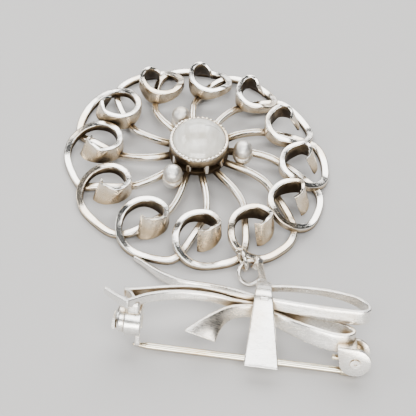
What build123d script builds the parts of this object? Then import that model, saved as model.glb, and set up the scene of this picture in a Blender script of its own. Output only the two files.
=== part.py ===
"""Silver bow brooch with a hanging scroll wheel, lying face up as it rests on a table.

Units are millimetres, +Z is up and Z = 0 is the table. The bow is described in its own
directions first: x runs along its length, w is up when it is worn, and n points out of its
front. The bow lies on its back, so n is nearly +Z and w leans towards the viewer and up.
"""
from build123d import *
import math
import os

# Sizes of the hanging wheel
wheel_radius = 19.5          # from the middle to the middle line of the outermost bends
spoke_root = 4.095           # from the middle to the spokes' inner ends, under the setting
strip_count = 12
hub_rise = 2.6               # how much higher the middle lies than the rim
spoke_width = 1.05
strip_height = 4.2           # height of the hammered inner end of each strip
first_scroll = 120.0         # degrees from +X to the first scroll
scroll_reach = 0.80          # share of the wheel's radius where each scroll has its middle

# Stone and its setting
stone_radius = 4.0
stone_rise = 2.8
stone_skirt = 0.7
stone_clearance = 0.04
bezel_wall = 0.42
bezel_height = 3.35
gallery_ring_height = 0.75
gallery_post_count = 10
gallery_post_width = 0.8
bezel_bead_count = 40
bezel_bead_cut = 0.2
seat_width = 0.55            # how far the stone's seat reaches in from the wall

# Three balls between the spokes
ball_radius = 1.4
ball_reach = 6.6
ball_count = 3
ball_turn = -3.0             # degrees from the scrolls
collar_radius = 1.5
collar_height = 1.05
collar_drop = 0.24           # the collars reach this far below the hub's foot
ball_seat = 0.62             # share of a ball's radius that its middle lies above its collar

# Jump ring, its eye on the wheel and the hook of the bow
jump_ring_radius = 1.6
jump_wire = 0.6
eye_radius = 1.0
eye_wire = 0.55
ring_lean = 37.0             # degrees between the ring and the table
ring_angle = -68.2           # degrees from +X to the ring, round the wheel
ring_offset = 2.2            # how far outside the wheel's radius the ring has its middle
link_gap = 0.3
eye_at = 105.0               # degrees round the ring where the eye holds it
hook_at = 38.0               # degrees round the ring where the bow hooks on
hook_begins = -32.0          # degrees round the wire, from the ring's outer side
hook_turn = 200.0

# Bow ribbons
bow_half_length = 13.7
ribbon_width = 2.1
ribbon_thickness = 0.55
knot_width = 2.0
knot_flare = 4.5
knot_slope_length = 9.6
knot_thickness = 0.6
knot_lean = 0.8              # how far the band leans to the right towards its wide end
tongue_width = 0.95
tongue_thickness = 0.4

# How the bow lies
bow_tilt = 25.0              # degrees that w rises from the table
bow_turn = -5.0              # degrees about Z
wheel_place = (-1.8, 8.3)
knot_from_ring = (1.64, -7.05)

# Pin and hinge
pin_wire = 0.9
pin_root = 1.0               # side of the square block between the wire and the knuckle
pin_length = 29.0            # from the hinge to the tip
pin_point = 2.0              # length of the sharpened end
pin_tip_radius = 0.14
pin_drop = 2.35              # the wire runs this far behind the rivet
heel_length = 2.8            # from the rivet to the end of the heel above the wire
hinge_x = 12.5
hinge_back = 3.9             # the rivet lies this far behind the bow's front plane
rivet_radius = 0.45
rivet_clearance = 0.05
rivet_head_radius = 0.65
rivet_head_height = 0.18
ear_radius = 2.05
ear_thickness = 0.45
ear_length = 2.52            # from the rivet to the ear's left edge
ear_edge = 0.45              # height of that edge
hinge_middle_w = 3.7         # w of the middle of the hinge
knuckle_radius = 1.4
knuckle_width = 1.9
knuckle_clearance = 0.06

# Catch: a fixed barrel with a slot, and a turning lever inside it
catch_x = -16.5
catch_back = 2.3
barrel_radius = 2.15
barrel_wall = 0.45
barrel_length = 2.1
lever_clearance = 0.08
slot_width = 1.5
knob_length = 1.2
knob_radius = 1.85
tab_thickness = 0.4
window_size = 1.0
window_turn = 67.0           # degrees from w towards the front

os.makedirs("parts", exist_ok=True)


def polar(radius, degrees):
    """Point of the table plane at a radius and an angle."""
    angle = math.radians(degrees)
    return Vector(radius * math.cos(angle), radius * math.sin(angle), 0)


def section(middle, along, across, width, thickness):
    """Rectangle across a strip: width runs along the direction across."""
    across = across.normalized()
    along = (along - across * across.dot(along)).normalized()
    plane = Plane(origin=middle, x_dir=across, z_dir=along)
    return plane * Rectangle(width, thickness)


def strip(rows, joins=()):
    """Loft through rows of (middle, across, width, thickness), in stretches between joins."""
    faces = []
    last = len(rows) - 1
    for place, (middle, across, width, thickness) in enumerate(rows):
        before = rows[max(place - 1, 0)][0]
        after = rows[min(place + 1, last)][0]
        faces.append(section(middle, after - before, across, width, thickness))
    ends = (0, *joins, last)
    stretches = [loft(faces[first : end + 1]) for first, end in zip(ends, ends[1:])]
    whole_strip = stretches[0]
    for stretch in stretches[1:]:
        whole_strip = whole_strip + stretch
    return whole_strip


# One strip of the wheel, from the hub to its curled end. Radius is a share of the wheel's radius,
# and turn is in degrees from the scroll's own direction. The underside lies at a share of the
# hub's rise plus a share of the strip's height. Lean is how far the underside stands outside
# the curl, as a share of the height
# Columns: radius, turn, rise, underside, height, thickness share of the spoke's width, lean
wheel_rows = (
    (0.210, 38.8, 0.76, 0.00, 0.25, 1.00, 0.00),
    (0.305, 39.5, 0.70, 0.00, 0.25, 1.00, 0.00),
    (0.400, 39.3, 0.64, 0.00, 0.25, 1.00, 0.00),
    (0.540, 36.5, 0.51, 0.00, 0.25, 1.00, 0.00),
    (0.645, 31.7, 0.37, 0.00, 0.25, 1.00, 0.00),
    (0.755, 26.5, 0.29, 0.00, 0.24, 1.00, 0.00),
    (0.860, 22.0, 0.22, 0.00, 0.23, 1.00, 0.00),
    (0.937, 18.2, 0.11, 0.00, 0.22, 1.00, 0.00),
    (0.972, 13.0, 0.01, 0.00, 0.21, 0.98, 0.00),
    (0.985, 6.2, 0.00, 0.00, 0.21, 0.97, 0.00),
    (0.989, -1.3, 0.00, 0.00, 0.22, 0.97, 0.00),
    (0.960, -7.7, 0.00, 0.10, 0.27, 0.97, 0.00),
    (0.893, -12.3, 0.00, 0.26, 0.27, 0.97, 0.00),
    (0.816, -14.5, 0.00, 0.41, 0.28, 0.96, 0.00),
    (0.737, -14.0, 0.00, 0.50, 0.33, 0.95, 0.00),
    (0.659, -10.4, 0.00, 0.52, 0.37, 0.92, 0.00),
    (0.625, -2.5, 0.00, 0.44, 0.52, 0.86, 0.00),
    (0.663, 5.8, 0.00, 0.40, 0.66, 0.78, 0.00),
    (0.746, 8.4, 0.00, 0.52, 0.65, 0.68, 0.02),
    (0.793, 7.8, 0.00, 0.58, 0.67, 0.60, 0.10),
    (0.816, 6.0, 0.00, 0.57, 0.74, 0.53, 0.20),
    (0.832, 3.8, 0.00, 0.53, 0.79, 0.47, 0.29),
    (0.838, 1.5, 0.00, 0.47, 0.80, 0.43, 0.37),
    (0.830, -0.6, 0.00, 0.40, 0.80, 0.39, 0.43),
    (0.810, -2.5, 0.00, 0.34, 0.79, 0.35, 0.47),
)

# Rows of a strip between which it passes from the plain spoke to the hand bent scroll, rows over
# which a spoke's own turn comes in and goes out, and the last row that sets the lean's direction
bend_begins = 4
bend_is_full = 10
own_turn_is_full = 3
own_turn_fades = 6
own_turn_ends = 9
lean_follows = 22

# Each strip is bent by hand and differs a little. Columns: size of the scroll against the table
# above, its turn in degrees, how far it lies outwards, as a share of the wheel's radius, and
# sideways in degrees, then the spoke's own turn in degrees
hand_bends = (
    (1.02, -15.0, 0.019, -2.2, -0.6),
    (0.95, -11.0, -0.011, -1.4, 3.7),
    (0.86, -12.0, -0.029, -2.7, 0.0),
    (0.98, 2.0, -0.040, -4.0, -3.1),
    (0.95, 1.5, 0.011, -4.3, -5.6),
    (0.94, 1.5, 0.050, -0.7, -3.7),
    (0.98, -7.5, 0.043, 3.3, 1.0),
    (0.98, -2.0, -0.012, 4.9, 2.9),
    (1.05, 3.0, -0.017, 4.2, 2.1),
    (1.06, 5.5, -0.016, 1.6, 4.9),
    (1.16, 17.0, 0.000, 0.3, -1.3),
    (1.15, 6.3, 0.020, 0.9, -2.0),
)


def wheel_strip(number):
    """One spoke with its scroll, turned to its place round the wheel. The table's radii run from
    the spoke's inner end, which stays under the setting, to the wheel's radius."""
    size, twist, outward, sideways, own_turn = hand_bends[number % len(hand_bends)]
    aim = first_scroll - 360.0 / strip_count * number
    first_radius = wheel_rows[0][0]
    stretch = (wheel_radius - spoke_root) / (1 - first_radius)
    places = []
    for place, (radius, turn, *_) in enumerate(wheel_rows):
        share = min(max((place - bend_begins) / (bend_is_full - bend_begins), 0), 1)
        share = share * share * (3 - 2 * share)
        own_share = (own_turn_ends - place) / (own_turn_ends - own_turn_fades)
        own_share = max(min(place / own_turn_is_full, own_share, 1), 0)
        turn = turn + own_turn * own_share
        scroll_middle = polar(scroll_reach * wheel_radius, aim + sideways * share)
        reach = spoke_root + (radius - first_radius) * stretch
        arm = polar(reach, aim + turn) - polar(scroll_reach * wheel_radius, aim)
        arm = arm.rotate(Axis.Z, (twist + sideways) * share)
        arm = arm * (1 + (size - 1) * share)
        places.append(scroll_middle + arm + polar(outward * share * wheel_radius, aim))
    rows = []
    for place, (_, _, rise, underside, height, thickness, lean_share) in enumerate(wheel_rows):
        near = min(place, lean_follows)
        way = (places[near + 1] - places[max(near - 1, 0)]).normalized()
        out_of_curl = Vector(0, 0, 1).cross(way)
        up = Vector(0, 0, 1) - out_of_curl * lean_share
        tall = height * strip_height
        top = rise * hub_rise + underside * strip_height + tall
        middle = places[place] + Vector(0, 0, top) - up * (tall / 2)
        rows.append((middle, up, tall * up.length, thickness * spoke_width))
    return strip(rows)


def hub_and_setting():
    """Open gallery setting on a ring that the spokes run into, with a notched rim."""
    inside = stone_radius + stone_clearance
    outside = inside + bezel_wall
    base = hub_rise
    rim = base + bezel_height
    seat_top = rim - stone_skirt - bezel_wall
    upper_base = seat_top - gallery_ring_height * 0.6
    lower_ring = tube(outside, outside - bezel_wall * 2.4, base, gallery_ring_height)
    seat = tube(outside, inside - seat_width, upper_base, seat_top - upper_base)
    wall = tube(outside, inside, upper_base, rim - upper_base)
    notch = Cylinder(bezel_bead_cut, outside, rotation=(0, 90, 0))
    notches = PolarLocations(outside, bezel_bead_count) * notch
    wall = wall - [Pos(0, 0, rim + bezel_bead_cut * 0.45) * tool for tool in notches]
    post_height = upper_base - base
    post = Box(bezel_wall * 1.6, gallery_post_width, post_height + gallery_ring_height * 0.4)
    post = Pos(0, 0, base + post_height / 2) * post
    posts = PolarLocations(outside - bezel_wall * 0.9, gallery_post_count) * post
    return lower_ring + seat + wall + list(posts)


def tube(outer, inner, bottom, height):
    """Upright ring standing on the height called bottom."""
    ring = Cylinder(outer, height) - Cylinder(inner, height * 3)
    return Pos(0, 0, bottom + height / 2) * ring


def ball(angle):
    """Ball on its collar between two spokes."""
    foot = hub_rise - collar_drop
    middle = foot + collar_height + ball_radius * ball_seat
    collar = Pos(0, 0, foot + collar_height / 2) * Cylinder(collar_radius, collar_height)
    sphere = Pos(0, 0, middle) * Sphere(ball_radius)
    return Rot(0, 0, angle) * Pos(ball_reach, 0, 0) * (collar + sphere)


# The jump ring leans on the wheel's rim. Its own directions: side runs along the rim, slope
# runs up its plane towards the wheel, face points out of its plane
ring_reach = wheel_radius + ring_offset
ring_side = polar(1, ring_angle + 90)
ring_inward = polar(-1, ring_angle)
lean = math.radians(ring_lean)
ring_slope = ring_inward * math.cos(lean) + Vector(0, 0, math.sin(lean))
ring_face = ring_side.cross(ring_slope)
wheel_middle = Vector(wheel_place[0], wheel_place[1], 0)
ring_height = jump_ring_radius * math.sin(lean) + jump_wire / 2
ring_middle = wheel_middle + polar(ring_reach, ring_angle) + Vector(0, 0, ring_height)


def ring_point(degrees):
    """Point of the jump ring's middle line."""
    angle = math.radians(degrees)
    arm = ring_side * math.cos(angle) + ring_slope * math.sin(angle)
    return ring_middle + arm * jump_ring_radius


def jump_ring():
    """Closed round ring."""
    plane = Plane(origin=ring_middle, x_dir=ring_side, z_dir=ring_face)
    return plane * Torus(jump_ring_radius, jump_wire / 2)


def eye():
    """Small upright eye soldered to the rim, with the jump ring through it."""
    reach = eye_radius * 1.4
    gap = reach - eye_wire / 2 - jump_wire / 2 - link_gap
    middle = ring_point(eye_at) + ring_inward * gap - Vector(0, 0, eye_wire / 3)
    plane = Plane(origin=middle, x_dir=ring_inward, z_dir=ring_side)
    return plane * Torus(reach, eye_wire / 2)


# Hinge and catch places, in the bow's own frame. The rivet stands along w, between two ears
rivet_place = Vector(hinge_x, -hinge_back, hinge_middle_w)
catch_place = Vector(catch_x, -catch_back, hinge_middle_w)
ear_inner = knuckle_width / 2 + knuckle_clearance
ear_top = -hinge_back + ear_radius
ear_left = hinge_x - ear_length

# The bow's own frame: local x along the bow, local y out of its front, local z is w. The pin's
# square root or the round end of the far ear rests on the table
tilt = math.radians(bow_tilt)
far_ear_w = hinge_middle_w - ear_inner - ear_thickness
ear_depth = (hinge_back + ear_radius) * math.cos(tilt) - far_ear_w * math.sin(tilt)
wire_depth = (hinge_back + pin_drop) * math.cos(tilt) - hinge_middle_w * math.sin(tilt)
knot_height = max(ear_depth, wire_depth + pin_root / 2)
knot = ring_middle + Vector(*knot_from_ring, knot_height - ring_height)
bow_along = Vector(1, 0, 0).rotate(Axis.Z, bow_turn)
bow_up = Vector(0, -math.cos(tilt), math.sin(tilt)).rotate(Axis.Z, bow_turn)
bow_plane = Plane(origin=knot, x_dir=bow_along, z_dir=bow_up)
front = Vector(0, 1, 0)

# Ribbons that stand on edge. Columns: x, w, front edge, width. x and w are shares of the
# bow's half length, the others are shares of the ribbon's width. A bend is the pair of rows
# between which a loop turns back
upper_bend = (5, 8)
upper_loop = (
    (0.00, -0.145, 0.80, 0.45),
    (0.22, -0.185, 0.85, 0.45),
    (0.47, -0.200, 0.86, 0.48),
    (0.70, -0.185, 0.86, 0.53),
    (0.89, -0.125, 0.86, 0.66),
    (0.985, -0.030, 0.86, 0.82),
    (0.995, 0.055, 0.86, 0.96),
    (0.92, 0.100, 0.86, 1.03),
    (0.73, 0.106, 0.85, 1.00),
    (0.51, 0.095, 0.82, 0.95),
    (0.26, 0.073, 0.79, 0.84),
    (0.00, 0.050, 0.76, 0.75),
)
lower_bend = (4, 7)
lower_loop = (
    (0.00, 0.020, 0.10, 0.80),
    (0.25, 0.022, -0.19, 0.80),
    (0.51, 0.050, -0.20, 0.84),
    (0.72, 0.090, -0.22, 0.92),
    (0.845, 0.150, -0.24, 1.06),
    (0.870, 0.215, -0.26, 1.20),
    (0.79, 0.266, -0.28, 1.29),
    (0.63, 0.256, -0.28, 1.29),
    (0.42, 0.190, -0.26, 1.20),
    (0.24, 0.117, -0.23, 1.05),
    (0.02, 0.066, 0.10, 0.95),
)
low_tail = (
    (0.04, -0.090, 0.29, 0.60),
    (-0.11, -0.170, -0.05, 0.57),
    (-0.31, -0.248, -0.14, 0.62),
    (-0.51, -0.314, -0.28, 0.70),
    (-0.71, -0.347, -0.38, 0.75),
    (-0.90, -0.380, -0.40, 0.74),
    (-1.09, -0.457, -0.28, 0.56),
    (-1.23, -0.548, -0.18, 0.42),
    (-1.35, -0.612, -0.06, 0.34),
)
catch_ribbon = (
    (0.04, 0.036, 0.15, 0.62),
    (-0.10, 0.033, 0.22, 0.62),
    (-0.28, 0.055, 0.38, 0.64),
    (-0.42, 0.062, 0.57, 0.65),
    (-0.61, 0.080, 0.71, 0.65),
    (-0.80, 0.124, 0.81, 0.65),
    (-0.95, 0.182, 0.86, 0.65),
    (-1.09, 0.255, 0.86, 0.64),
    (-1.18, 0.328, 0.86, 0.62),
    (-1.27, 0.400, 0.86, 0.60),
)
catch_tip = (
    (-1.25, 0.405, 0.86, 0.60),
    (-1.37, 0.325, 0.86, 0.56),
    (-1.49, 0.236, 0.86, 0.46),
)
left_loop = (
    (0.03, -0.022, 0.43, 0.57),
    (-0.32, 0.000, 0.62, 0.60),
    (-0.61, -0.007, 0.76, 0.62),
    (-0.80, 0.033, 0.81, 0.62),
    (-0.99, 0.102, 0.86, 0.62),
    (-1.18, 0.172, 0.86, 0.58),
    (-1.31, 0.215, 0.86, 0.53),
)
left_fold = (
    (-1.30, 0.205, 0.86, 0.53),
    (-1.245, 0.268, 0.86, 0.56),
    (-1.205, 0.345, 0.86, 0.60),
)


def ribbon(table, joins=()):
    """Ribbon on edge along its table, in the bow's own frame."""
    rows = []
    for x, w, front_edge, width in table:
        wide = width * ribbon_width
        middle = Vector(
            x * bow_half_length,
            front_edge * ribbon_width - wide / 2,
            w * bow_half_length,
        )
        rows.append((middle, front, wide, ribbon_thickness))
    return strip(rows, joins)


# Short flared tail that twists to face up. Columns: x, front, w, then the direction of its
# width, then its width. Places are shares of the bow's half length
flared_tail = (
    (0.04, -0.022, 0.073, (0.0, 1.0, 0.0), 0.80),
    (-0.12, -0.033, 0.084, (0.0, 1.0, 0.0), 0.90),
    (-0.29, -0.039, 0.139, (-0.15, 1.0, 0.0), 0.95),
    (-0.41, -0.075, 0.233, (-0.50, 0.85, 0.00), 1.15),
    (-0.50, -0.134, 0.314, (-0.85, 0.50, 0.00), 1.57),
    (-0.56, -0.190, 0.365, (-0.96, 0.27, 0.00), 2.05),
)


def twisted_ribbon():
    """The flared tail, from the knot to its open end."""
    rows = []
    for x, front_place, w, across, width in flared_tail:
        middle = Vector(x, front_place, w) * bow_half_length
        rows.append((middle, Vector(*across), width * ribbon_width, ribbon_thickness))
    return strip(rows)


# The band round the knot. Columns: w, front and width. The first two are shares of the length
# of its slope, the last is the share of the way from its narrow to its wide end
band_rows = (
    (-0.215, 0.195, 0.00),
    (-0.060, 0.208, 0.04),
    (0.055, 0.190, 0.12),
    (0.150, 0.110, 0.24),
    (0.310, -0.105, 0.48),
    (0.475, -0.345, 0.76),
    (0.635, -0.573, 1.00),
)


def knot_band():
    """Band over the middle of the bow, whose lower end slopes back and widens."""
    rows = []
    for w, front_place, share in band_rows:
        width = knot_width + (knot_flare - knot_width) * share
        place = Vector(
            knot_lean * (share - 0.3), front_place * knot_slope_length, w * knot_slope_length
        )
        rows.append((place, Vector(1, 0, 0), width, knot_thickness))
    return strip(rows)


def knot_core():
    """Solder and folded ends inside the knot, which join the ribbons to the band."""
    depth = ribbon_width * 1.25
    height = bow_half_length * 0.24
    core = Box(knot_width * 0.8, depth, height)
    return Pos(0, ribbon_width * 0.88 - depth / 2, -bow_half_length * 0.045) * core


def tongue():
    """Narrow end of the band, which runs down to the jump ring and hooks round its wire."""
    edge_w, edge_front, _ = band_rows[0]
    edge = Vector(
        -0.3 * knot_lean, edge_front * knot_slope_length, edge_w * knot_slope_length
    )
    start = bow_plane.from_local_coords(edge + Vector(0, 0, knot_slope_length * 0.12))
    edge = bow_plane.from_local_coords(edge)
    wire_middle = ring_point(hook_at)
    outward = (wire_middle - ring_middle).normalized()
    wire_way = outward.cross(ring_face)
    hook_radius = jump_wire / 2 + link_gap + tongue_thickness / 2
    arm = outward.rotate(Axis((0, 0, 0), wire_way), hook_begins) * -1
    arrive = wire_middle - arm * hook_radius
    way = (arrive - edge).normalized()

    def cut(middle, along, across):
        return section(middle, along, across, tongue_width, tongue_thickness)

    hook_start = cut(arrive, wire_way.cross(arm), wire_way)
    faces = [cut(start, edge - start, bow_along)]
    faces.append(cut(edge, (edge - start).normalized() + way, bow_along))
    for share in (0.35, 0.7):
        across = bow_along * (1 - share) + wire_way * share
        faces.append(cut(edge + (arrive - edge) * share, way, across))
    faces.append(hook_start)
    hook = revolve(hook_start, Axis(wire_middle, wire_way), hook_turn)
    return loft(faces) + hook


def upright(radius, height, middle):
    """Round bar that stands along w in the bow's own frame."""
    return Pos(middle.X, middle.Y, middle.Z) * Cylinder(radius, height)


def ear_outline():
    """Teardrop of an ear: a slanting left edge that meets a round end at the rivet."""
    corner = Vector(ear_left, ear_top - ear_edge, 0)
    centre = Vector(hinge_x, -hinge_back, 0)
    gap = centre - corner
    turn = math.asin(ear_radius / gap.length)
    aim = math.atan2(gap.Y, gap.X) - turn
    reach = math.sqrt(gap.length**2 - ear_radius**2)
    touch = corner + Vector(math.cos(aim), math.sin(aim), 0) * reach
    right = Vector(hinge_x + ear_radius, -hinge_back, 0)
    top = Vector(hinge_x, ear_top, 0)
    sides = Polyline(top, Vector(ear_left, ear_top, 0), corner, touch)
    round_end = ThreePointArc(touch, right, top)
    return make_face([*sides.edges(), round_end])


def hinge_plate():
    """Two ears and the plate between them, with holes for the rivet."""
    outline = ear_outline()
    ear = extrude(outline, ear_thickness)
    near = Pos(0, 0, hinge_middle_w + ear_inner) * ear
    far = Pos(0, 0, hinge_middle_w - ear_inner - ear_thickness) * ear
    spread = 2 * (ear_inner + ear_thickness)
    plate = Pos(hinge_x - ear_length / 2, ear_top - ear_thickness / 2, hinge_middle_w)
    plate = plate * Box(ear_length, ear_thickness, spread)
    hole = upright(rivet_radius + rivet_clearance / 2, spread * 2, rivet_place)
    return (near + far + plate) - hole


def hinge_rivet():
    """Rivet with a dished head on each side."""
    half = ear_inner + ear_thickness + rivet_clearance / 2
    shaft = upright(rivet_radius, 2 * (half + rivet_head_height), rivet_place)
    head = upright(rivet_head_radius, rivet_head_height, rivet_place)
    offset = Vector(0, 0, half + rivet_head_height / 2)
    dish = upright(rivet_radius * 0.5, rivet_head_height, rivet_place)
    result = shaft
    for side in (1, -1):
        result = result + Pos(0, 0, side * offset.Z) * head
    for side in (1, -1):
        result = result - Pos(0, 0, side * (offset.Z + rivet_head_height / 2)) * dish
    return result


def pin_stem():
    """Knuckle, heel and pointed wire, as it lies open below the catch."""
    knuckle = upright(knuckle_radius, knuckle_width, rivet_place)
    wire_y = -hinge_back - pin_drop
    root_left = hinge_x - knuckle_radius
    root_length = knuckle_radius * 1.4
    tip_x = hinge_x - pin_length
    straight = tip_x + pin_point
    wire = Pos((root_left + straight) / 2, wire_y, hinge_middle_w) * Cylinder(
        pin_wire / 2, root_left - straight, rotation=(0, 90, 0)
    )
    root = Pos(root_left + root_length / 2, wire_y, hinge_middle_w) * Box(
        root_length, pin_root, pin_root, rotation=(bow_tilt, 0, 0)
    )
    point = Pos(tip_x + pin_point / 2, wire_y, hinge_middle_w) * Cone(
        pin_tip_radius, pin_wire / 2, pin_point, rotation=(0, 90, 0)
    )
    web = Pos(hinge_x, -hinge_back - pin_drop / 2, hinge_middle_w)
    web = web * Box(knuckle_radius * 1.1, pin_drop, pin_wire * 0.9)
    heel = Pos(hinge_x - heel_length / 2, -hinge_back - pin_wire * 0.4, hinge_middle_w)
    heel = heel * Box(heel_length, pin_wire * 0.6, pin_wire * 0.8)
    hole = upright(rivet_radius + rivet_clearance, knuckle_width * 3, rivet_place)
    return (knuckle + wire + root + point + web + heel) - hole


def along_bow(radius, length, left):
    """Round bar along the bow on the catch's axis, from its left end."""
    return Pos(left + length / 2, catch_place.Y, catch_place.Z) * Cylinder(
        radius, length, rotation=(0, 90, 0)
    )


barrel_left = catch_x - barrel_length / 2
bore_radius = barrel_radius - barrel_wall
rotor_radius = bore_radius - lever_clearance


def slot_tool(width, left, length):
    """Slot from the catch's axis to its back, with a round inner end."""
    depth = barrel_radius * 2
    box = Pos(left + length / 2, catch_place.Y - depth / 2, catch_place.Z)
    return box * Box(length, depth, width) + along_bow(width / 2, length, left)


def window_tool(degrees, bottom, size):
    """Square hole through the barrel's wall, at an angle from w towards the front."""
    depth = barrel_radius + 0.5 - bottom
    tool = Pos(0, 0, bottom + depth / 2) * Box(size, size, depth)
    return Pos(catch_x, catch_place.Y, catch_place.Z) * Rot(-degrees, 0, 0) * tool


def catch_housing():
    """Slotted barrel with its post, its window and the guide beside its slot."""
    barrel = along_bow(barrel_radius, barrel_length, barrel_left)
    barrel = barrel - along_bow(bore_radius, barrel_length * 2, barrel_left - barrel_length / 2)
    barrel = barrel - slot_tool(slot_width, barrel_left - 1, barrel_length + 2)
    barrel = barrel - window_tool(window_turn, bore_radius - 0.3, window_size)
    guide_length = barrel_radius * 0.75
    guide_top = catch_place.Y - bore_radius
    guide = Pos(
        catch_x + barrel_length * 0.34,
        guide_top - guide_length / 2,
        catch_place.Z + slot_width / 2 + barrel_wall / 2,
    ) * Box(barrel_length * 0.32, guide_length, barrel_wall)
    post_bottom = catch_place.Y + barrel_radius - barrel_wall * 0.6
    post_top = ribbon_width * 0.35
    post = Pos(
        catch_x, (post_bottom + post_top) / 2, catch_place.Z + barrel_wall
    ) * Box(barrel_length * 0.75, post_top - post_bottom, barrel_wall * 4.2)
    return barrel + guide + post


def catch_lever():
    """Turning barrel with its slot open to the back, its knob and its thumb tab."""
    gap = lever_clearance
    knob_left = barrel_left - gap - knob_length
    rotor = along_bow(rotor_radius, barrel_length + gap * 2, barrel_left - gap * 2)
    knob = along_bow(knob_radius, knob_length, knob_left)
    knob = fillet(knob.edges().filter_by(GeomType.CIRCLE).group_by(Axis.X)[0], knob_length * 0.6)
    slot_left = hinge_x - pin_length - 0.5
    slot = slot_tool(slot_width, slot_left, barrel_length * 2)
    pocket = window_tool(window_turn, rotor_radius * 0.45, window_size * 0.9)
    tab_height = knob_radius * 0.75
    tab = Pos(knob_left - tab_thickness * 0.2, catch_place.Y, catch_place.Z + knob_radius * 0.35)
    tab = tab * Box(tab_thickness, tab_height, knob_radius * 1.2)
    return (rotor - slot - pocket) + knob + tab


def moonstone():
    """Low round cabochon that sits in the setting on its own flat back."""
    base = hub_rise + bezel_height - stone_skirt - bezel_wall + stone_clearance
    side_top = base + stone_skirt
    side = Pos(0, 0, (base + side_top) / 2) * Cylinder(stone_radius, stone_skirt)
    dome_radius = (stone_radius**2 + stone_rise**2) / (2 * stone_rise)
    dome = Pos(0, 0, side_top + stone_rise - dome_radius) * Sphere(dome_radius)
    above = Pos(0, 0, side_top + dome_radius) * Box(*[2 * dome_radius] * 3)
    return side + (dome & above)


def scroll_wheel():
    """Twelve strips, the setting, three balls and the eye, soldered into one piece."""
    wheel = hub_and_setting()
    for number in range(strip_count):
        wheel = wheel + wheel_strip(number)
    for number in range(ball_count):
        wheel = wheel + ball(first_scroll + ball_turn - 360.0 / ball_count * number)
    return Pos(*wheel_middle) * wheel + eye()


def bow_frame():
    """All the soldered metal of the bow."""
    bow = knot_core() + ribbon(upper_loop, upper_bend) + ribbon(lower_loop, lower_bend)
    for table in (low_tail, catch_ribbon, catch_tip, left_loop, left_fold):
        bow = bow + ribbon(table)
    knuckle_room = upright(
        knuckle_radius + knuckle_clearance * 3, knuckle_width + knuckle_clearance * 2, rivet_place
    )
    bow = bow - knuckle_room
    bow = bow + twisted_ribbon() + knot_band() + hinge_plate() + catch_housing()
    return bow_plane.location * bow + tongue()


pieces = {
    "scroll_wheel": scroll_wheel(),
    "moonstone": Pos(*wheel_middle) * moonstone(),
    "jump_ring": jump_ring(),
    "bow_frame": bow_frame(),
    "hinge_rivet": bow_plane.location * hinge_rivet(),
    "pin_stem": bow_plane.location * pin_stem(),
    "catch_lever": bow_plane.location * catch_lever(),
}

whole = Compound(list(pieces.values())).bounding_box()
to_origin = Pos(-whole.center().X, -whole.center().Y, -whole.min.Z)

for name, piece in pieces.items():
    export_step(to_origin * piece, f"parts/{name}.step")
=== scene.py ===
"""Looks of a silver bow brooch with a hanging scroll wheel, lying on a pale floor.

Sizes are in millimetres until a mesh is made. The bow's own directions are along (to the right),
front (out of its face) and up (as it is worn, here towards the viewer and upwards).
"""

import math

import bpy
import numpy as np
from mathutils import Matrix, Vector


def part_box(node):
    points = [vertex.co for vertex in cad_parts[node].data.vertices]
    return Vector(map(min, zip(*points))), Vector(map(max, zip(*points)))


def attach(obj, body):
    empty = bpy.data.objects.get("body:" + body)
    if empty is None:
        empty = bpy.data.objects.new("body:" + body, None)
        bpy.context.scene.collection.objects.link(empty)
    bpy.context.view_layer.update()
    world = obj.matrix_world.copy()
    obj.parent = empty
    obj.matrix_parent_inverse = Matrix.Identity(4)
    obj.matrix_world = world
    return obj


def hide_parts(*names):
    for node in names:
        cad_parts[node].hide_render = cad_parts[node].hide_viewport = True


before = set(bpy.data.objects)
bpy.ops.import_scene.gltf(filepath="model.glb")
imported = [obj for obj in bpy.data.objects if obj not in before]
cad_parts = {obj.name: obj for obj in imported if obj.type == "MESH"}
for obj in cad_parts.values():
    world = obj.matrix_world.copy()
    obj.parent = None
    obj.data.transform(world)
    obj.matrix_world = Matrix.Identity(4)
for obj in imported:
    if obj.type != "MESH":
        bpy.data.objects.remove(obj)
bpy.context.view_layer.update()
MM = 0.001

# Wheel of twelve strips
wheel_radius = 19.5
strip_count = 12
hub_rise = 2.6
spoke_width = 1.05
strip_height = 4.2
groove_depth = 0.06
first_scroll = 120.0
scroll_reach = 0.80
wheel_place = np.array([-1.8, 8.3, 0.0])

# Stone and its setting
stone_radius = 4.0
stone_rise = 2.8
stone_skirt = 0.7
stone_clearance = 0.04
# Painted dark reflection on the stone's dome: a thin dark curve, its middle, bend, width and
# length in millimetres
reflection_line_middle = (1.9, 0.75)
reflection_line_bend = 0.22
reflection_line_width = 0.11
reflection_line_length = 2.3
reflection_line_share = 0.75     # how much of the painted dark reflection shows
bezel_wall = 0.42
bezel_height = 3.35
gallery_ring_height = 0.75
post_count = 10
post_width = 0.8
tooth_count = 40
tooth_cut = 0.13
lip_begins = 0.2             # above the stone's seat
lip_lean = 0.16              # how far the rim is pressed in over the stone
seat_width = 0.55

# Balls between the spokes
ball_radius = 1.4
ball_reach = 6.6
ball_count = 3
ball_turn = -3.0
collar_radius = 1.5
collar_height = 1.05
collar_drop = 0.24
collar_bulge = 0.16
ball_seat = 0.62

# Jump ring, its eye on the wheel and the hook of the bow
jump_ring_radius = 1.6
jump_wire = 0.6
seam_at = 4.2                # where the ring was closed, in radians round it
seam_width = 0.05
seam_depth = 0.05            # share of the wire that the seam lacks
eye_radius = 1.0
eye_wire = 0.55
ring_lean = math.radians(37.0)
ring_angle = -68.2
ring_offset = 2.2
link_gap = 0.3
eye_at = 105.0
hook_at = 38.0
hook_begins = -32.0
hook_turn = 200.0

# Bow
bow_half_length = 13.7
ribbon_width = 2.1
ribbon_thickness = 0.55
knot_width = 2.0
knot_flare = 4.5
knot_slope_length = 9.6
knot_thickness = 0.6
knot_lean = 0.8
tongue_width = 0.95
tongue_thickness = 0.4
bow_tilt = math.radians(25.0)
bow_turn = math.radians(-5.0)
knot_from_ring = (1.64, -7.05)

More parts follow.
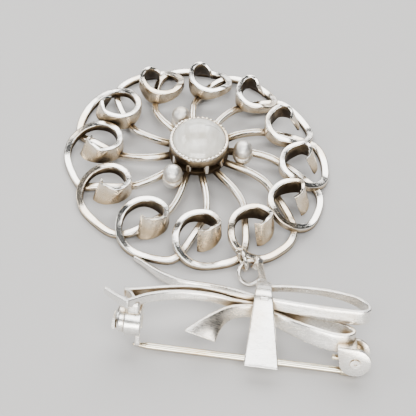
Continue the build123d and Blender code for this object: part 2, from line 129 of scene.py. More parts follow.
# Pin, hinge and catch
pin_wire = 0.9
pin_point_stops = (0, 0.02, 0.06, 0.2, 0.45, 0.7, 0.9, 1.0)
pin_root = 1.0
pin_length = 29.0
pin_point = 2.0
pin_tip_radius = 0.14
pin_drop = 2.35
heel_length = 2.8
hinge_x = 12.5
hinge_back = 3.9
rivet_radius = 0.45
ear_radius = 2.05
ear_thickness = 0.45
ear_length = 2.52
ear_edge = 0.45
hinge_middle_w = 3.7
knuckle_radius = 1.4
knuckle_width = 1.9
knuckle_clearance = 0.06
catch_x = -16.5
catch_back = 2.3
barrel_radius = 2.15
barrel_wall = 0.45
barrel_length = 2.1
slot_width = 1.5
window_size = 1.0
window_from_up = 67.0

# How uneven the hand left it, as millimetres or as shares of a thickness
strip_top_waver = 0.035
strip_thickness_waver = 0.05
ribbon_width_waver = 0.012
ribbon_thickness_waver = 0.05
rim_wavers = ((0.04, 7, 1.0), (0.03, 13, 0.0))      # height, waves round the rim, phase
ball_dents = 0.012
collar_dents = 0.03

# What changes along a strip, from one share of its length to the next
groove_fades = (0.12, 0.32)
corners_sharpen = (0.125, 0.375)
hub_mask_fades = (0.0, 1 / 14)
# the sides' painted shade grows from its share at the hub to full over this stretch of the strip
wall_shade_grows = (0.3, 0.55)
spoke_soften = 0.38          # corner radius as a share of the smaller side
scroll_soften = 0.18

# Where tarnish and painted shade gather, as masks from 0 to 1
groove_mask = 9.0            # for each millimetre of a groove's depth
# Painted shade on the strips' sides: darker towards the underside and inside the curl
wall_shade_at_top = 0.65      # of what it is at the underside
wall_shade_outside = 0.45     # of what it is inside the curl
hub_mask = 0.8
# share of the sides' painted shade left at the hub
wall_shade_at_hub = 0.55
# The setting darkens from just below its rim downwards
setting_mask = 0.85
setting_mask_below_rim = 0.22
setting_mask_fade = 0.3
# Lack of open sky within this reach, the floor counting too, darkens the silver: partly tarnish in
# hollows, partly painted shade
recess_reach = 1.6           # how near other metal closes off a surface's open sky

# Colours of tarnish, which also paint shade where the masks darken the silver, and the depth of
# the surface's fine relief
golden_film_and_shade = (0.66, 0.47, 0.24, 1)
black_tarnish_and_shade = (0.04, 0.026, 0.014, 1)
relief_depth = 0.12

# How the picture was taken
camera_lift = math.radians(53.0)
camera_roll = math.radians(2.8)
camera_distance = 140.0
camera_lens = 82.2
floor_half = 0.9             # in metres

# Where the part's own values put the stone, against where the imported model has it
stone_base = hub_rise + bezel_height - stone_skirt - bezel_wall + stone_clearance
stone_low, stone_high = (np.array(corner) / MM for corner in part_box("moonstone"))
shift = (stone_low + stone_high) / 2 - wheel_place
shift[2] = stone_low[2] - stone_base


def polar(radius, degrees):
    """Points of the table plane at radii and angles."""
    angle = np.radians(degrees)
    return np.stack([radius * np.cos(angle), radius * np.sin(angle), 0 * angle], -1)


def unit(vector):
    """The same direction with length one."""
    vector = np.asarray(vector, float)
    return vector / np.linalg.norm(vector, axis=-1, keepdims=True)


wheel_middle = shift + wheel_place
ring_side = polar(1.0, ring_angle + 90)
ring_inward = -polar(1.0, ring_angle)
ring_slope = ring_inward * math.cos(ring_lean) + np.array([0, 0, math.sin(ring_lean)])
ring_face = np.cross(ring_side, ring_slope)
ring_height = jump_ring_radius * math.sin(ring_lean) + jump_wire / 2
ring_middle = wheel_middle + polar(wheel_radius + ring_offset, ring_angle)
ring_middle = ring_middle + np.array([0, 0, ring_height])

along = np.array([math.cos(bow_turn), math.sin(bow_turn), 0])
away = np.array([-math.sin(bow_turn), math.cos(bow_turn), 0])
lift = np.array([0, 0, 1.0])
up = lift * math.sin(bow_tilt) - away * math.cos(bow_tilt)
front = lift * math.cos(bow_tilt) + away * math.sin(bow_tilt)
ear_inner = knuckle_width / 2 + knuckle_clearance
far_ear_w = hinge_middle_w - ear_inner - ear_thickness
ear_depth = (hinge_back + ear_radius) * math.cos(bow_tilt) - far_ear_w * math.sin(bow_tilt)
wire_depth = (hinge_back + pin_drop) * math.cos(bow_tilt) - hinge_middle_w * math.sin(bow_tilt)
knot_height = max(ear_depth, wire_depth + pin_root / 2)
knot = ring_middle + np.array([*knot_from_ring, knot_height - ring_height])


def in_bow(x, n, w):
    """Points given along, out of the front and up from the knot."""
    x, n, w = np.broadcast_arrays(x, n, w)
    return knot + x[..., None] * along + n[..., None] * front + w[..., None] * up


# One strip of the wheel, from the hub to its curled end. Columns: radius, turn, rise, underside,
# height, thickness share of the spoke's width, lean out of the curl
wheel_rows = (
    (0.210, 38.8, 0.76, 0.00, 0.25, 1.00, 0.00),
    (0.305, 39.5, 0.70, 0.00, 0.25, 1.00, 0.00),
    (0.400, 39.3, 0.64, 0.00, 0.25, 1.00, 0.00),
    (0.540, 36.5, 0.51, 0.00, 0.25, 1.00, 0.00),
    (0.645, 31.7, 0.37, 0.00, 0.25, 1.00, 0.00),
    (0.755, 26.5, 0.29, 0.00, 0.24, 1.00, 0.00),
    (0.860, 22.0, 0.22, 0.00, 0.23, 1.00, 0.00),
    (0.937, 18.2, 0.11, 0.00, 0.22, 1.00, 0.00),
    (0.972, 13.0, 0.01, 0.00, 0.21, 0.98, 0.00),
    (0.985, 6.2, 0.00, 0.00, 0.21, 0.97, 0.00),
    (0.989, -1.3, 0.00, 0.00, 0.22, 0.97, 0.00),
    (0.960, -7.7, 0.00, 0.10, 0.27, 0.97, 0.00),
    (0.893, -12.3, 0.00, 0.26, 0.27, 0.97, 0.00),
    (0.816, -14.5, 0.00, 0.41, 0.28, 0.96, 0.00),
    (0.737, -14.0, 0.00, 0.50, 0.33, 0.95, 0.00),
    (0.659, -10.4, 0.00, 0.52, 0.37, 0.92, 0.00),
    (0.625, -2.5, 0.00, 0.44, 0.52, 0.86, 0.00),
    (0.663, 5.8, 0.00, 0.40, 0.66, 0.78, 0.00),
    (0.746, 8.4, 0.00, 0.52, 0.65, 0.68, 0.02),
    (0.793, 7.8, 0.00, 0.58, 0.67, 0.60, 0.10),
    (0.816, 6.0, 0.00, 0.57, 0.74, 0.53, 0.20),
    (0.832, 3.8, 0.00, 0.53, 0.79, 0.47, 0.29),
    (0.838, 1.5, 0.00, 0.47, 0.80, 0.43, 0.37),
    (0.830, -0.6, 0.00, 0.40, 0.80, 0.39, 0.43),
    (0.810, -2.5, 0.00, 0.34, 0.79, 0.35, 0.47),
)

# How each strip differs: size of its scroll, turn in degrees, outwards share, sideways degrees
# and the spoke's own turn
bend_begins = 4
bend_is_full = 10
own_turn_is_full = 3
own_turn_fades = 6
own_turn_ends = 9
lean_follows = 22
hand_bends = (
    (1.02, -15.0, 0.019, -2.2, -0.6),
    (0.95, -11.0, -0.011, -1.4, 3.7),
    (0.86, -12.0, -0.029, -2.7, 0.0),
    (0.98, 2.0, -0.040, -4.0, -3.1),
    (0.95, 1.5, 0.011, -4.3, -5.6),
    (0.94, 1.5, 0.050, -0.7, -3.7),
    (0.98, -7.5, 0.043, 3.3, 1.0),
    (0.98, -2.0, -0.012, 4.9, 2.9),
    (1.05, 3.0, -0.017, 4.2, 2.1),
    (1.06, 5.5, -0.016, 1.6, 4.9),
    (1.16, 17.0, 0.000, 0.3, -1.3),
    (1.15, 6.3, 0.020, 0.9, -2.0),
)

# Ribbons that stand on edge. Columns: x, w, front edge, width
ribbons = {
    "upper_loop": (
        (0.00, -0.145, 0.80, 0.45),
        (0.22, -0.185, 0.85, 0.45),
        (0.47, -0.200, 0.86, 0.48),
        (0.70, -0.185, 0.86, 0.53),
        (0.89, -0.125, 0.86, 0.66),
        (0.985, -0.030, 0.86, 0.82),
        (0.995, 0.055, 0.86, 0.96),
        (0.92, 0.100, 0.86, 1.03),
        (0.73, 0.106, 0.85, 1.00),
        (0.51, 0.095, 0.82, 0.95),
        (0.26, 0.073, 0.79, 0.84),
        (0.00, 0.050, 0.76, 0.75),
    ),
    "lower_loop": (
        (0.00, 0.020, 0.10, 0.80),
        (0.25, 0.022, -0.19, 0.80),
        (0.51, 0.050, -0.20, 0.84),
        (0.72, 0.090, -0.22, 0.92),
        (0.845, 0.150, -0.24, 1.06),
        (0.870, 0.215, -0.26, 1.20),
        (0.79, 0.266, -0.28, 1.29),
        (0.63, 0.256, -0.28, 1.29),
        (0.42, 0.190, -0.26, 1.20),
        (0.24, 0.117, -0.23, 1.05),
        (0.02, 0.066, 0.10, 0.95),
    ),
    "low_tail": (
        (0.04, -0.090, 0.29, 0.60),
        (-0.11, -0.170, -0.05, 0.57),
        (-0.31, -0.248, -0.14, 0.62),
        (-0.51, -0.314, -0.28, 0.70),
        (-0.71, -0.347, -0.38, 0.75),
        (-0.90, -0.380, -0.40, 0.74),
        (-1.09, -0.457, -0.28, 0.56),
        (-1.23, -0.548, -0.18, 0.42),
        (-1.35, -0.612, -0.06, 0.34),
    ),
    "catch_ribbon": (
        (0.04, 0.036, 0.15, 0.62),
        (-0.10, 0.033, 0.22, 0.62),
        (-0.28, 0.055, 0.38, 0.64),
        (-0.42, 0.062, 0.57, 0.65),
        (-0.61, 0.080, 0.71, 0.65),
        (-0.80, 0.124, 0.81, 0.65),
        (-0.95, 0.182, 0.86, 0.65),
        (-1.09, 0.255, 0.86, 0.64),
        (-1.18, 0.328, 0.86, 0.62),
        (-1.27, 0.400, 0.86, 0.60),
    ),
    "catch_tip": (
        (-1.25, 0.405, 0.86, 0.60),
        (-1.37, 0.325, 0.86, 0.56),
        (-1.49, 0.236, 0.86, 0.46),
    ),
    "left_loop": (
        (0.03, -0.022, 0.43, 0.57),
        (-0.32, 0.000, 0.62, 0.60),
        (-0.61, -0.007, 0.76, 0.62),
        (-0.80, 0.033, 0.81, 0.62),
        (-0.99, 0.102, 0.86, 0.62),
        (-1.18, 0.172, 0.86, 0.58),
        (-1.31, 0.215, 0.86, 0.53),
    ),
    "left_fold": (
        (-1.30, 0.205, 0.86, 0.53),
        (-1.245, 0.268, 0.86, 0.56),
        (-1.205, 0.345, 0.86, 0.60),
    ),
}

# Flared tail. Columns: x, front, w, then the direction of its width, then its width
flared_tail = (
    (0.04, -0.022, 0.073, (0.0, 1.0, 0.0), 0.80),
    (-0.12, -0.033, 0.084, (0.0, 1.0, 0.0), 0.90),
    (-0.29, -0.039, 0.139, (-0.15, 1.0, 0.0), 0.95),
    (-0.41, -0.075, 0.233, (-0.50, 0.85, 0.00), 1.15),
    (-0.50, -0.134, 0.314, (-0.85, 0.50, 0.00), 1.57),
    (-0.56, -0.190, 0.365, (-0.96, 0.27, 0.00), 2.05),
)

# The band round the knot. Columns: w, front and width share
band_rows = (
    (-0.215, 0.195, 0.00),
    (-0.060, 0.208, 0.04),
    (0.055, 0.190, 0.12),
    (0.150, 0.110, 0.24),
    (0.310, -0.105, 0.48),
    (0.475, -0.345, 0.76),
    (0.635, -0.573, 1.00),
)


# Meshes. A grid holds points in millimetres, rows along a path and columns round its section


def closed_sections(grid):
    """Faces over a grid: each point with the next along and the next round, and both ends."""
    rows, columns = grid.shape[:2]
    index = np.arange(rows * columns).reshape(rows, columns)
    here, there = index[:-1], index[1:]
    quads = np.stack([here, np.roll(here, -1, 1), np.roll(there, -1, 1), there], -1)
    return quads.reshape(-1, 4), [index[0][::-1], index[-1]]


def closed_ring(grid):
    """Faces over a grid whose last row meets its first one."""
    rows, columns = grid.shape[:2]
    index = np.arange(rows * columns).reshape(rows, columns)
    there = np.roll(index, -1, 0)
    quads = np.stack([index, np.roll(index, -1, 1), np.roll(there, -1, 1), there], -1)
    return quads.reshape(-1, 4), []


def volume_of(points, quads):
    """Six times the volume inside the faces: the sum of a · (b × c) over their triangles."""
    a, b, c, d = (points[quads[:, number]] for number in range(4))
    return np.einsum("ij,ij->", a, np.cross(b, c)) + np.einsum("ij,ij->", a, np.cross(c, d))


def in_scene(name, data):
    """New object in the scene, at the origin."""
    made = bpy.data.objects.new(name, data)
    bpy.context.scene.collection.objects.link(made)
    return made


def skin(name, shells, body="root"):
    """One mesh over several grids. Each shell is (grid, is a ring, mask of tarnish and painted
    shade or None), and is turned round if its volume comes out negative. The map runs along in
    millimetres and round."""
    points, faces, uvs, masks = [], [], [], []
    offset = 0
    for grid, ring, tarnish_and_shade in shells:
        rows, columns = grid.shape[:2]
        quads, caps = (closed_ring if ring else closed_sections)(grid)
        flat = grid.reshape(-1, 3)
        if volume_of(flat - flat.mean(0), quads) < 0:
            quads = quads[:, ::-1]
            caps = [cap[::-1] for cap in caps]
        faces += (quads + offset).tolist() + [(cap + offset).tolist() for cap in caps]
        steps = np.linalg.norm(np.diff(grid.mean(1), axis=0), axis=1)
        run = np.concatenate([[0], np.cumsum(steps)])
        turn = np.arange(columns) / columns
        uvs.append(np.stack(np.broadcast_arrays(run[:, None], turn[None, :]), -1).reshape(-1, 2))
        mask = 0.0 if tarnish_and_shade is None else tarnish_and_shade
        masks.append(np.broadcast_to(mask, (rows, columns)).ravel())
        points.append(flat)
        offset += len(flat)
    mesh = bpy.data.meshes.new(name)
    mesh.from_pydata((np.concatenate(points) * MM).tolist(), [], faces)
    order = np.zeros(len(mesh.loops), int)
    mesh.loops.foreach_get("vertex_index", order)
    layer = mesh.uv_layers.new(name="along")
    layer.data.foreach_set("uv", np.concatenate(uvs)[order].astype(np.float32).ravel())
    # The point attribute holds the mask of tarnish and painted shade
    mask = mesh.attributes.new("tarnish_and_shade", "FLOAT", "POINT")
    mask.data.foreach_set("value", np.clip(np.concatenate(masks), 0, 1).astype(np.float32))
    mesh.polygons.foreach_set("use_smooth", np.ones(len(mesh.polygons), bool))
    mesh.update()
    made = in_scene(name, mesh)
    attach(made, body)
    return made


def through(rows, count):
    """Values at even steps along a natural cubic spline through the rows. The second slopes come
    from the usual three-term equations, and each stretch blends its ends' values and slopes."""
    rows = np.asarray(rows, float)
    last = len(rows) - 1
    system = np.eye(last + 1)
    right = np.zeros_like(rows)
    inner = np.arange(1, last)
    system[inner, inner - 1] = system[inner, inner + 1] = 1
    system[inner, inner] = 4
    right[inner] = 6 * (rows[inner + 1] - 2 * rows[inner] + rows[inner - 1])
    bend = np.linalg.solve(system, right)
    place = np.linspace(0, last, count)
    low = np.minimum(place.astype(int), last - 1)
    b = (place - low)[:, None]
    a = 1 - b
    curve = ((a**3 - a) * bend[low] + (b**3 - b) * bend[low + 1]) / 6
    return a * rows[low] + b * rows[low + 1] + curve


def wander(count, seed, waves=7):
    """Smooth hand-made unevenness between about -1 and 1: sines with seeded phases added up."""
    chance = np.random.default_rng(seed)
    share = np.linspace(0, 1, count)
    numbers = np.arange(1, waves + 1)
    phase = chance.uniform(0, 2 * np.pi, waves)
    size = chance.uniform(0.3, 1, waves) / np.sqrt(numbers)
    return (np.sin(2 * np.pi * np.outer(share, numbers) + phase) * size).sum(1) / 2


def rounded_section(per_corner=4, per_face=(3, 5)):
    """Corner signs and arc directions of a rounded rectangle, going round it once. A point is the
    corner's middle plus the corner radius times the arc's direction."""
    signs, arcs = [], []
    corners = np.array(((1, 1), (-1, 1), (-1, -1), (1, -1)), float)
    for number, corner in enumerate(corners):
        angles = np.pi / 2 * (number + np.linspace(0, 1, per_corner))
        signs.append(np.repeat([corner], per_corner, 0))
        arcs.append(np.stack([np.cos(angles), np.sin(angles)], -1))
        between = per_face[number % 2]
        mix = np.linspace(0, 1, between + 2)[1:-1, None]
        signs.append(corner * (1 - mix) + corners[(number + 1) % 4] * mix)
        arcs.append(np.repeat(arcs[-1][-1:], between, 0))
    return np.concatenate(signs), np.concatenate(arcs)


bar_end_turns = (75, 45, 20)
signs, arcs = rounded_section()
is_top = (arcs[:, 0] > 0.999) & (np.abs(signs[:, 1]) < 0.999)


def bar(middles, across, width, thickness, soften=0.42, groove=0.0, tarnish_and_shade=0.0, wall=0.0):
    """Bar with a rounded rectangular section carried along a path. Its width runs along the
    direction across, its thickness at right angles to that and to the path. Corners are rounded by
    a share of the smaller side, and each end by sections that shrink along a quarter circle.
    Groove sinks two lines into the face that across points out of. Wall is the painted shade of
    the sides, a mask that grows towards the underside and is stronger on the right of the path."""
    middles = np.asarray(middles, float)
    count = len(middles)
    across = unit(np.broadcast_to(across, middles.shape))
    way = unit(np.gradient(middles, axis=0))
    way = unit(way - across * (way * across).sum(1, keepdims=True))
    side = np.cross(way, across)
    half = np.stack([np.broadcast_to(size, count) for size in (width, thickness)], -1) / 2
    corner = half.min(1) * 2 * soften
    lines = np.broadcast_to(groove, count)
    turn = np.radians(bar_end_turns)
    extra = len(bar_end_turns)
    order = np.concatenate([[0] * extra, np.arange(count), [count - 1] * extra])
    inset = np.concatenate([1 - np.cos(turn), np.zeros(count), (1 - np.cos(turn))[::-1]])
    slide = np.concatenate([-np.sin(turn), np.zeros(count), np.sin(turn)[::-1]])
    bend = (corner[order] * (1 - inset))[:, None]
    reach = half[order] - corner[order, None]
    wide = reach[:, :1] * signs[:, 0] + bend * arcs[:, 0]
    thick = reach[:, 1:] * signs[:, 1] + bend * arcs[:, 1]
    line = np.where(is_top, 0.5 - 0.5 * np.cos(3 * np.pi * (signs[:, 1] + 1)), 0)
    wide = wide - lines[order, None] * line
    grid = middles[order, None] + (way[order] * (slide * corner[order])[:, None])[:, None]
    grid = grid + across[order, None] * wide[..., None] + side[order, None] * thick[..., None]
    mask = np.broadcast_to(tarnish_and_shade, count)[order, None] + lines[order, None] * groove_mask * line
    # Painted shade on the sides: none on the top face, darker towards the underside and on the
    # right of the path
    depth = wall_shade_at_top + (1 - wall_shade_at_top) * (1 - signs[:, 0]) / 2
    depth = np.where(arcs[:, 0] > 0.5, 0, depth)
    depth = depth * (wall_shade_outside + (1 - wall_shade_outside) * (signs[:, 1] + 1) / 2)
    mask = mask + np.broadcast_to(wall, count)[order, None] * depth
    return grid, False, np.broadcast_to(mask, grid.shape[:2])


def straight(start, end, across, width, thickness, soften=0.25):
    """Straight bar between two points."""
    mix = np.linspace(0, 1, 5)[:, None]
    middles = np.asarray(start) * (1 - mix) + np.asarray(end) * mix
    return bar(middles, across, width, thickness, soften)


def turned(radii, heights, middle, axis=(0, 0, 1), count=48, dents=0.0):
    """Solid of revolution: radius along height, carried round the axis, with three low dents round
    it. Rows go along the axis."""
    axis = unit(axis)
    first = unit(np.cross(axis, (0.3, 0.9, 0.2)))
    second = np.cross(axis, first)
    angle = np.linspace(0, 2 * np.pi, count, endpoint=False)
    spoke = first * np.cos(angle)[:, None] + second * np.sin(angle)[:, None]
    radii = np.asarray(radii, float)[:, None] * (1 + dents * np.cos(3 * angle + 1)[None, :])
    rise = np.asarray(heights)[:, None, None] * axis
    return np.asarray(middle) + radii[..., None] * spoke + rise, False, None


def hoop(middle, first, second, radius, wire, count=72, around=16, swell=None):
    """Closed ring of round wire: a circle carried round a larger circle. Swell gives the wire's
    thickness share at each angle."""
    angle = np.linspace(0, 2 * np.pi, count, endpoint=False)
    turn = np.linspace(0, 2 * np.pi, around, endpoint=False)
    first, second = unit(first), unit(second)
    spoke = first * np.cos(angle)[:, None] + second * np.sin(angle)[:, None]
    normal = np.cross(first, second)
    thick = wire / 2 * (np.ones(count) if swell is None else swell(angle))
    out = spoke[:, None] * (radius + thick[:, None] * np.cos(turn))[..., None]
    rise = normal * (thick[:, None] * np.sin(turn))[..., None]
    return np.asarray(middle) + out + rise, True, None


def lump(middle, sizes, seed):
    """Uneven drop of solder: a ball pressed to three half sizes, with low waves over it."""
    down = np.linspace(0.06, math.pi - 0.06, 15)[:, None]
    turn = np.linspace(0, 2 * np.pi, 24, endpoint=False)[None, :]
    x, y = np.sin(down) * np.cos(turn), np.sin(down) * np.sin(turn)
    shape = np.stack([x, y, np.cos(down) + 0 * turn], -1)
    phase = np.random.default_rng(seed).uniform(0, 6, 3)
    wave = 1 + 0.07 * np.sin(3 * x + phase[0]) + 0.06 * np.sin(4 * y + phase[1])
    return np.asarray(middle) + shape * wave[..., None] * np.asarray(sizes), False, None


# Wheel


def wheel_strip(number):
    """One spoke and its scroll: the table's middle line turned, bent and set in place as the part
    has it, then a bar along it whose underside leans out of the curl. The spoke's top has two
    shallow grooves that fade at the scroll, and its corners are rounder."""
    size, twist, outward, sideways, own_turn = hand_bends[number]
    aim = first_scroll - 360.0 / strip_count * number
    radius, turn, rise, underside, height, thickness, lean = np.array(wheel_rows).T
    order = np.arange(len(radius))
    share = np.clip((order - bend_begins) / (bend_is_full - bend_begins), 0, 1)
    share = share * share * (3 - 2 * share)
    fade = (own_turn_ends - order) / (own_turn_ends - own_turn_fades)
    turn = turn + own_turn * np.clip(np.minimum(order / own_turn_is_full, fade), 0, 1)
    arm = polar(radius * wheel_radius, aim + turn) - polar(scroll_reach * wheel_radius, aim)
    angle = np.radians((twist + sideways) * share)
    cosine, sine = np.cos(angle), np.sin(angle)
    x, y, z = arm.T
    arm = np.column_stack([x * cosine - y * sine, x * sine + y * cosine, z])
    place = polar(scroll_reach * wheel_radius, aim + sideways * share)
    place = place + arm * (1 + (size - 1) * share)[:, None]
    place = place + polar(1.0, aim) * (outward * share * wheel_radius)[:, None]
    low = rise * hub_rise + underside * strip_height
    table = np.column_stack([place[:, :2], low, low + height * strip_height, thickness, lean])
    count = 190
    x, y, low, top, thick, lean = through(table, count).T
    low = np.maximum(low, 0)
    top = top + strip_top_waver * wander(count, 40 + number)
    uneven = 1 + strip_thickness_waver * wander(count, 60 + number, 16)
    thick = thick * spoke_width * uneven
    path = np.column_stack([x, y, top])
    way = unit(np.gradient(path * np.array([1, 1, 0]), axis=0))
    held = np.minimum(np.arange(count), int(lean_follows / order[-1] * count))
    across = lift - np.cross(lift, way[held]) * lean[:, None]
    tall = top - low
    path = path - across * (tall / 2)[:, None]
    along_share = np.linspace(0, 1, count)
    groove = np.interp(along_share, groove_fades, (groove_depth, 0))
    soften = np.interp(along_share, corners_sharpen, (spoke_soften, scroll_soften))
    tarnish_and_shade = np.interp(along_share, hub_mask_fades, (hub_mask, 0))
    # painted shade on the sides, weaker near the hub
    wall = np.interp(along_share, wall_shade_grows, (wall_shade_at_hub, 1))
    wide = tall * np.linalg.norm(across, axis=1)
    return bar(path + wheel_middle, across, wide, thick, soften, groove, tarnish_and_shade, wall)


strips = skin("wheel_strips", [wheel_strip(number) for number in range(strip_count)])

inside = stone_radius + stone_clearance
outside = inside + bezel_wall
rim = hub_rise + bezel_height
seat_top = rim - stone_skirt - bezel_wall
upper_base = seat_top - gallery_ring_height * 0.6


def setting_ring(profile, teeth=0.0, count=480):
    """Ring round the stone: a closed profile of (radius, height) carried round. With teeth, the
    profile's points above the seat lean over the stone, sink into notches by a raised cosine of
    the angle and waver by two sines. The mask grows downwards from below the rim."""
    radius, height = np.asarray(profile, float).T
    angle = np.linspace(0, 2 * np.pi, count, endpoint=False)[:, None]
    drop = 0 * angle
    if teeth:
        lip = seat_top + lip_begins
        high = np.clip((height - lip) / (rim - lip), 0, 1)
        notch = teeth * (0.5 + 0.5 * np.cos(angle * tooth_count)) ** 2
        waver = sum(size * np.sin(waves * angle + phase) for size, waves, phase in rim_wavers)
        drop = (notch + waver) * high
        radius = radius - lip_lean * high
    grid = np.stack([radius * np.cos(angle), radius * np.sin(angle), height - drop], -1)
    below = rim - setting_mask_below_rim - height
    mask = np.clip(below / setting_mask_fade, 0, 1) * setting_mask
    return wheel_middle + grid, True, mask


def rounded_profile(corners, radius=0.08, steps=4):
    """Closed profile through corners, each cut by a short curve between its two sides."""
    corners = np.asarray(corners, float)
    before = unit(np.roll(corners, 1, 0) - corners)
    after = unit(np.roll(corners, -1, 0) - corners)
    mix = np.linspace(0, 1, steps)[None, :, None]
    start = corners[:, None] + before[:, None] * radius
    end = corners[:, None] + after[:, None] * radius
    bend = (1 - mix) ** 2 * start + 2 * mix * (1 - mix) * corners[:, None] + mix**2 * end
    return bend.reshape(-1, 2)


lower_inner = outside - bezel_wall * 2.4
setting = [
    setting_ring(
        rounded_profile(
            (
                (outside, hub_rise), (outside, hub_rise + gallery_ring_height),
                (lower_inner, hub_rise + gallery_ring_height), (lower_inner, hub_rise),
            ), 0.12,
        )
    ),
    setting_ring(
        rounded_profile(
            (
                (outside, upper_base), (outside + 0.02, rim - 0.35), (outside, rim),
                (inside + 0.06, rim), (inside, seat_top), (inside - seat_width, seat_top),
                (inside - seat_width, upper_base),
            ), 0.07,
        ), tooth_cut,
    ),
]
for number in range(post_count):
    spot = polar(outside - bezel_wall * 0.8, 360.0 / post_count * number) + wheel_middle
    setting.append(
        straight(
            spot + lift * (hub_rise + 0.3), spot + lift * (upper_base + 0.2),
            polar(1.0, 360.0 / post_count * number + 90), post_width, bezel_wall * 1.6, 0.3,
        )
    )
setting_piece = skin("stone_setting", setting)

balls = []
for number in range(ball_count):
    angle = first_scroll + ball_turn - 360.0 / ball_count * number
    foot = polar(ball_reach, angle) + wheel_middle + lift * (hub_rise - collar_drop)
    down = np.linspace(0.05, math.pi - 0.05, 31)
    balls.append(
        turned(
            ball_radius * np.sin(down), -ball_radius * 0.96 * np.cos(down),
            foot + lift * (collar_height + ball_radius * ball_seat), dents=ball_dents,
        )
    )
    bulge = np.linspace(-1, 1, 9)
    balls.append(
        turned(
            collar_radius - collar_bulge * bulge**2, collar_height / 2 * bulge,
            foot + lift * collar_height / 2, dents=collar_dents,
        )
    )
ball_piece = skin("spoke_balls", balls)


def ring_point(degrees):
    """Point of the jump ring's middle line."""
    angle = math.radians(degrees)
    arm = ring_side * math.cos(angle) + ring_slope * math.sin(angle)
    return ring_middle + jump_ring_radius * arm


def seam(angle):
    """Thickness share of the ring's wire: a narrow bell curve less where it was closed."""
    return 1 - seam_depth * np.exp(-(((angle - seam_at) / seam_width) ** 2))


eye_reach = eye_radius * 1.4
eye_gap = eye_reach - eye_wire / 2 - jump_wire / 2 - link_gap
eye_middle = ring_point(eye_at) + ring_inward * eye_gap - lift * eye_wire / 3
eye_piece = skin(
    "wheel_eye",
    [
        hoop(eye_middle, ring_inward, lift, eye_reach, eye_wire),
        lump(eye_middle + ring_inward * eye_reach * 0.9 + lift * 0.5, (0.75, 0.6, 0.5), 3),
    ],
)
ring_piece = skin(
    "jump_ring_wire",
    [hoop(ring_middle, ring_side, ring_slope, jump_ring_radius, jump_wire, swell=seam)],
)

# Stone: a skirt that rounds into a high dome, radius against height
dome_radius = (stone_radius**2 + stone_rise**2) / (2 * stone_rise)
dome_turn = np.linspace(math.asin(stone_radius / dome_radius), 0.012, 40)
dome_r = dome_radius * np.sin(dome_turn)
dome_z = stone_base + stone_skirt + stone_rise - dome_radius * (1 - np.cos(dome_turn))
skirt_r = stone_radius - np.array([1.2, 0.15, 0.04, 0, 0, 0])
skirt_z = stone_base + np.array([0, 0, 0.05, 0.15, 0.4, stone_skirt - 0.05])
stone_piece = skin(
    "moonstone_cabochon",
    [turned(np.r_[skirt_r, dome_r], np.r_[skirt_z, dome_z], wheel_middle, count=120)],
)

# Bow


def ribbon(table, seed, count=90):
    """Ribbon on edge along its table: a bar whose width runs along the bow's front."""
    x, w, front_edge, width = through(table, count).T
    wide = width * ribbon_width * (1 + ribbon_width_waver * wander(count, seed, 12))
    path = in_bow(x * bow_half_length, front_edge * ribbon_width - wide / 2, w * bow_half_length)
    thick = ribbon_thickness * (1 + ribbon_thickness_waver * wander(count, seed + 50, 10))
    return bar(path, front, wide, thick, 0.3)


def flared():
    """Short tail that twists to face up, with the width's direction turning along it."""
    rows = [(x, n, w, *way, width) for x, n, w, way, width in flared_tail]
    curve = through(rows, 60)
    path = in_bow(*(curve[:, :3] * bow_half_length).T)
    across = curve[:, 3:4] * along + curve[:, 4:5] * front + curve[:, 5:6] * up
    return bar(path, across, curve[:, 6] * ribbon_width, ribbon_thickness, 0.3)


ribbon_piece = skin(
    "bow_ribbons",
    [ribbon(table, 100 + number) for number, table in enumerate(ribbons.values())] + [flared()],
)

edge_w, edge_front, _ = band_rows[0]
band = through(band_rows, 70)
band_w, band_front, band_share = band.T
band_path = in_bow(
    knot_lean * (band_share - 0.3), band_front * knot_slope_length, band_w * knot_slope_length
)
band_shell = bar(
    band_path, along, knot_width + (knot_flare - knot_width) * band_share, knot_thickness, 0.32
)

edge = in_bow(-0.3 * knot_lean, edge_front * knot_slope_length, edge_w * knot_slope_length)
wire_middle = ring_point(hook_at)
outward = unit(wire_middle - ring_middle)
wire_way = np.cross(outward, ring_face)
hook_radius = jump_wire / 2 + link_gap + tongue_thickness / 2
hook_angle = np.radians(hook_begins + np.linspace(0, hook_turn, 28))[:, None]
hook_path = wire_middle + hook_radius * (
    outward * np.cos(hook_angle) + np.cross(wire_way, outward) * np.sin(hook_angle)
)
run_share = np.array([0.0, 0.3, 0.6, 0.85])[:, None]
run = edge + (hook_path[0] - edge) * run_share
run = np.concatenate([[edge + up * knot_slope_length * 0.12], run])
run = through(np.concatenate([run, hook_path[:1]]), 24)[:-1]
turn_share = np.clip((np.arange(len(run)) - 5) / (len(run) - 6), 0, 1)[:, None]
hook_across = np.concatenate(
    [along * (1 - turn_share) + wire_way * turn_share, np.broadcast_to(wire_way, hook_path.shape)]
)
tongue_shell = bar(
    np.concatenate([run, hook_path]), hook_across, tongue_width, tongue_thickness, 0.4
)
core_top = ribbon_width * 0.88
core_depth = ribbon_width * 1.25
core_height = bow_half_length * 0.24
core_w = -bow_half_length * 0.045
core = straight(
    in_bow(0, core_top - core_depth / 2, core_w - core_height / 2),
    in_bow(0, core_top - core_depth / 2, core_w + core_height / 2),
    along, knot_width * 0.8, core_depth,
)
band_piece = skin("knot_band", [band_shell, tongue_shell, core])


